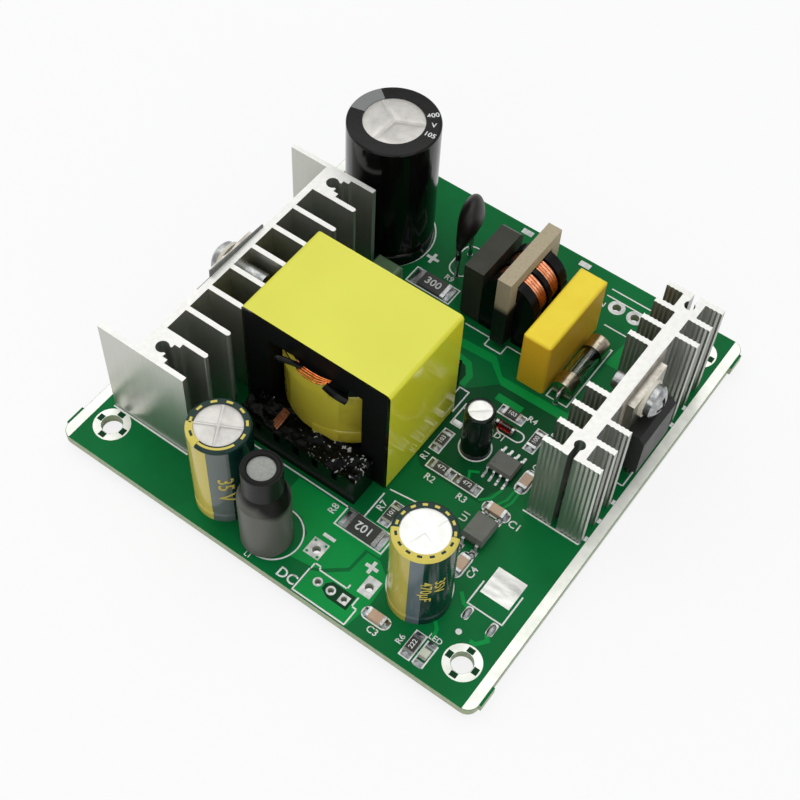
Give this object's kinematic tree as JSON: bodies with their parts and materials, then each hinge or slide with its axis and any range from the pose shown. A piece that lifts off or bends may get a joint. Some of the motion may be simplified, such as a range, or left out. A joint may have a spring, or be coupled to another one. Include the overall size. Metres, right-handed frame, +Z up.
{
  "type": "power supply module",
  "caption": "Open-frame mains power supply: a green circuit board with finned heatsinks, a taped ferrite transformer, a line filter, electrolytic capacitors and corner mounting holes.",
  "frame": {"origin": "centre of the four mounting holes, on the board's underside", "axes": "+X along the output edge from the output heatsink to the primary heatsink, +Y from the output edge to the mains edge, +Z up from the board"},
  "size_m": [0.0818, 0.0834, 0.0311],
  "materials": {
    "board_laminate": "green solder mask over glass-fibre laminate",
    "solder": "bright solder",
    "heatsink_aluminium": "extruded, mill finish",
    "plated_steel": "zinc plate",
    "black_epoxy": "moulded, matt",
    "tab_copper_tinned": "tin plate",
    "silicone_pad_grey": "matt sheet",
    "silicone_pad_beige": "mottled sheet",
    "white_nylon": "moulded",
    "dark_ferrite": "ground ferrite",
    "grey_ferrite": "ground ferrite",
    "black_phenolic": "moulded",
    "yellow_winding_tape": "polyester tape",
    "yellow_core_tape": "polyester tape",
    "enamelled_copper": "clear enamel",
    "yellow_case": "moulded, satin",
    "clear_glass": "clear",
    "nickel_plate": "nickel plate",
    "can_aluminium": "drawn, bare",
    "black_sleeve": "shrunk film, glossy",
    "green_sleeve": "shrunk film, glossy",
    "green_epoxy": "dipped",
    "black_shrink": "shrunk tube, satin",
    "black_coating": "dipped",
    "black_glaze": "glazed film",
    "tan_ceramic": "fired ceramic",
    "clear_lens": "moulded lens",
    "red_glass": "tinted",
    "tinned_copper": "tin plate"
  },
  "bodies": {
    "root": {"circuit_board": "board_laminate", "solder_joints": "solder", "output_heatsink": "heatsink_aluminium", "primary_heatsink": "heatsink_aluminium", "heatsink_pins": "plated_steel", "rectifier_body": "black_epoxy", "rectifier_leadframe": "tab_copper_tinned", "rectifier_pad": "silicone_pad_grey", "rectifier_screw": "plated_steel", "transistor_body": "black_epoxy", "transistor_leadframe": "tab_copper_tinned", "transistor_pad": "silicone_pad_beige", "transistor_screw": "plated_steel", "screw_bushes": "white_nylon", "core_upper": "dark_ferrite", "core_lower": "dark_ferrite", "transformer_bobbin": "black_phenolic", "transformer_winding": "yellow_winding_tape", "transformer_tape": "yellow_core_tape", "transformer_pins": "tinned_copper", "choke_core": "grey_ferrite", "choke_bobbin": "black_phenolic", "choke_winding_front": "enamelled_copper", "choke_winding_back": "enamelled_copper", "choke_pins": "tinned_copper", "bridge_body": "black_epoxy", "bridge_leads": "tinned_copper", "line_capacitor_case": "yellow_case", "line_capacitor_leads": "tinned_copper", "fuse_glass": "clear_glass", "fuse_caps": "nickel_plate", "fuse_wires": "tinned_copper", "bulk_capacitor_can": "can_aluminium", "bulk_capacitor_sleeve": "black_sleeve", "output_capacitor_a_can": "can_aluminium", "output_capacitor_a_sleeve": "green_sleeve", "output_capacitor_b_can": "can_aluminium", "output_capacitor_b_sleeve": "green_sleeve", "bias_capacitor_can": "can_aluminium", "bias_capacitor_sleeve": "green_sleeve", "film_capacitor_body": "green_epoxy", "capacitor_leads": "tinned_copper", "inductor_core": "dark_ferrite", "inductor_coil": "enamelled_copper", "inductor_sleeve": "black_shrink", "inductor_leads": "tinned_copper", "thermistor_disc": "black_coating", "thermistor_leads": "tinned_copper", "controller_body": "black_epoxy", "controller_leads": "tinned_copper", "optocoupler_body": "black_epoxy", "optocoupler_leads": "tinned_copper", "resistor_chips": "black_glaze", "resistor_ends": "tinned_copper", "capacitor_chips": "tan_ceramic", "capacitor_ends": "tinned_copper", "led_body": "clear_lens", "glass_diode_body": "red_glass", "diode_ends": "tinned_copper"}
  },
  "joints": []
}
